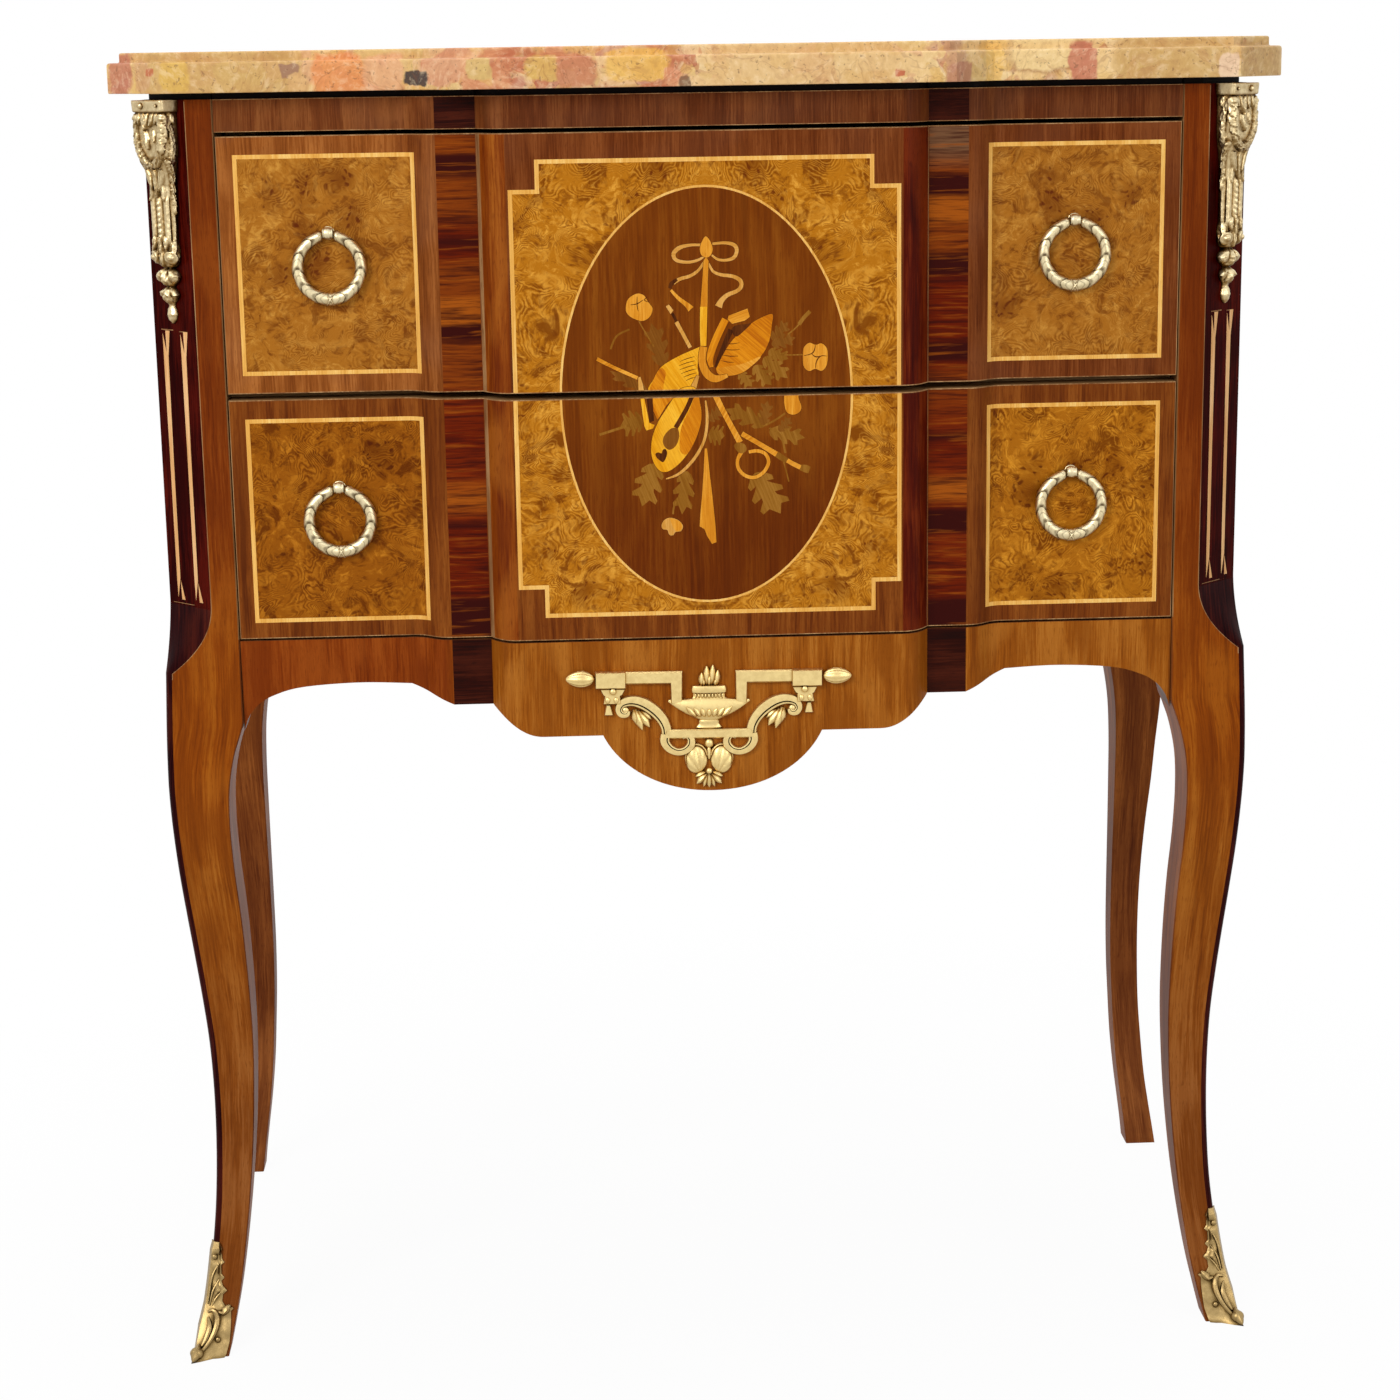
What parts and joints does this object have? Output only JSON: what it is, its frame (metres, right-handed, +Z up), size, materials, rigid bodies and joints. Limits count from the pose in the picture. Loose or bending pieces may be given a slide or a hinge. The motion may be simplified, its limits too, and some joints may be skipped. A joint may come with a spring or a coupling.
{
  "type": "commode chest",
  "caption": "Breakfront commode with canted corners, cabriole legs, marble top, sliding drawers with ring pulls, scalloped apron and gilt mounts.",
  "frame": {"origin": "centre of the bounding box in plan, on the floor under the feet", "axes": "+Z up, the drawers face -Y, +X to the right of a person facing the chest"},
  "size_m": [0.7304, 0.368, 0.85],
  "materials": {
    "veneered_wood": "french polished veneer",
    "carcass_oak": "plain oiled wood",
    "gilt_bronze": "polished gilt bronze",
    "screw_steel": "plain",
    "breccia_marble": "polished"
  },
  "bodies": {
    "case": {"marble_top": "breccia_marble", "front_left_leg": "veneered_wood", "front_right_leg": "veneered_wood", "rear_left_leg": "veneered_wood", "rear_right_leg": "veneered_wood", "left_side_panel": "veneered_wood", "right_side_panel": "veneered_wood", "back_panel": "carcass_oak", "top_front_rail": "veneered_wood", "top_rear_rail": "carcass_oak", "middle_front_rail": "carcass_oak", "front_apron": "veneered_wood", "bottom_rear_rail": "carcass_oak", "dust_board": "carcass_oak", "bottom_board": "carcass_oak", "upper_left_runner": "carcass_oak", "upper_right_runner": "carcass_oak", "lower_left_runner": "carcass_oak", "lower_right_runner": "carcass_oak", "left_kicker": "carcass_oak", "right_kicker": "carcass_oak", "left_drawer_stop": "carcass_oak", "right_drawer_stop": "carcass_oak", "left_corner_block": "carcass_oak", "right_corner_block": "carcass_oak", "left_corner_mount": "gilt_bronze", "right_corner_mount": "gilt_bronze", "left_mount_screw": "screw_steel", "right_mount_screw": "screw_steel", "apron_mount": "gilt_bronze", "left_sabot": "gilt_bronze", "right_sabot": "gilt_bronze"},
    "upper_drawer": {"upper_drawer_front": "veneered_wood", "upper_drawer_left_side": "carcass_oak", "upper_drawer_right_side": "carcass_oak", "upper_drawer_back": "carcass_oak", "upper_drawer_bottom": "carcass_oak", "upper_drawer_left_pull_post": "gilt_bronze", "upper_drawer_right_pull_post": "gilt_bronze", "upper_drawer_left_pull_nut": "screw_steel", "upper_drawer_right_pull_nut": "screw_steel"},
    "upper_drawer_left_ring": {"upper_drawer_left_ring": "gilt_bronze"},
    "upper_drawer_right_ring": {"upper_drawer_right_ring": "gilt_bronze"},
    "lower_drawer": {"lower_drawer_front": "veneered_wood", "lower_drawer_left_side": "carcass_oak", "lower_drawer_right_side": "carcass_oak", "lower_drawer_back": "carcass_oak", "lower_drawer_bottom": "carcass_oak", "lower_drawer_left_pull_post": "gilt_bronze", "lower_drawer_right_pull_post": "gilt_bronze", "lower_drawer_left_pull_nut": "screw_steel", "lower_drawer_right_pull_nut": "screw_steel"},
    "lower_drawer_left_ring": {"lower_drawer_left_ring": "gilt_bronze"},
    "lower_drawer_right_ring": {"lower_drawer_right_ring": "gilt_bronze"}
  },
  "joints": [
    {"name": "upper_drawer_slide", "type": "slide", "parent": "case", "child": "upper_drawer", "axis": [0, -1, 0], "range_m": [0, 0.2]},
    {"name": "upper_drawer_left_ring_hinge", "type": "hinge", "parent": "upper_drawer", "child": "upper_drawer_left_ring", "pos_m": [-0.23275, -0.1423, 0.7395], "axis": [-1, 0, 0], "range_deg": [0, 150]},
    {"name": "upper_drawer_right_ring_hinge", "type": "hinge", "parent": "upper_drawer", "child": "upper_drawer_right_ring", "pos_m": [0.23275, -0.1423, 0.7395], "axis": [-1, 0, 0], "range_deg": [0, 150]},
    {"name": "lower_drawer_slide", "type": "slide", "parent": "case", "child": "lower_drawer", "axis": [0, -1, 0], "range_m": [0, 0.2]},
    {"name": "lower_drawer_left_ring_hinge", "type": "hinge", "parent": "lower_drawer", "child": "lower_drawer_left_ring", "pos_m": [-0.23275, -0.1423, 0.5806], "axis": [-1, 0, 0], "range_deg": [0, 150]},
    {"name": "lower_drawer_right_ring_hinge", "type": "hinge", "parent": "lower_drawer", "child": "lower_drawer_right_ring", "pos_m": [0.23275, -0.1423, 0.5806], "axis": [-1, 0, 0], "range_deg": [0, 150]}
  ]
}
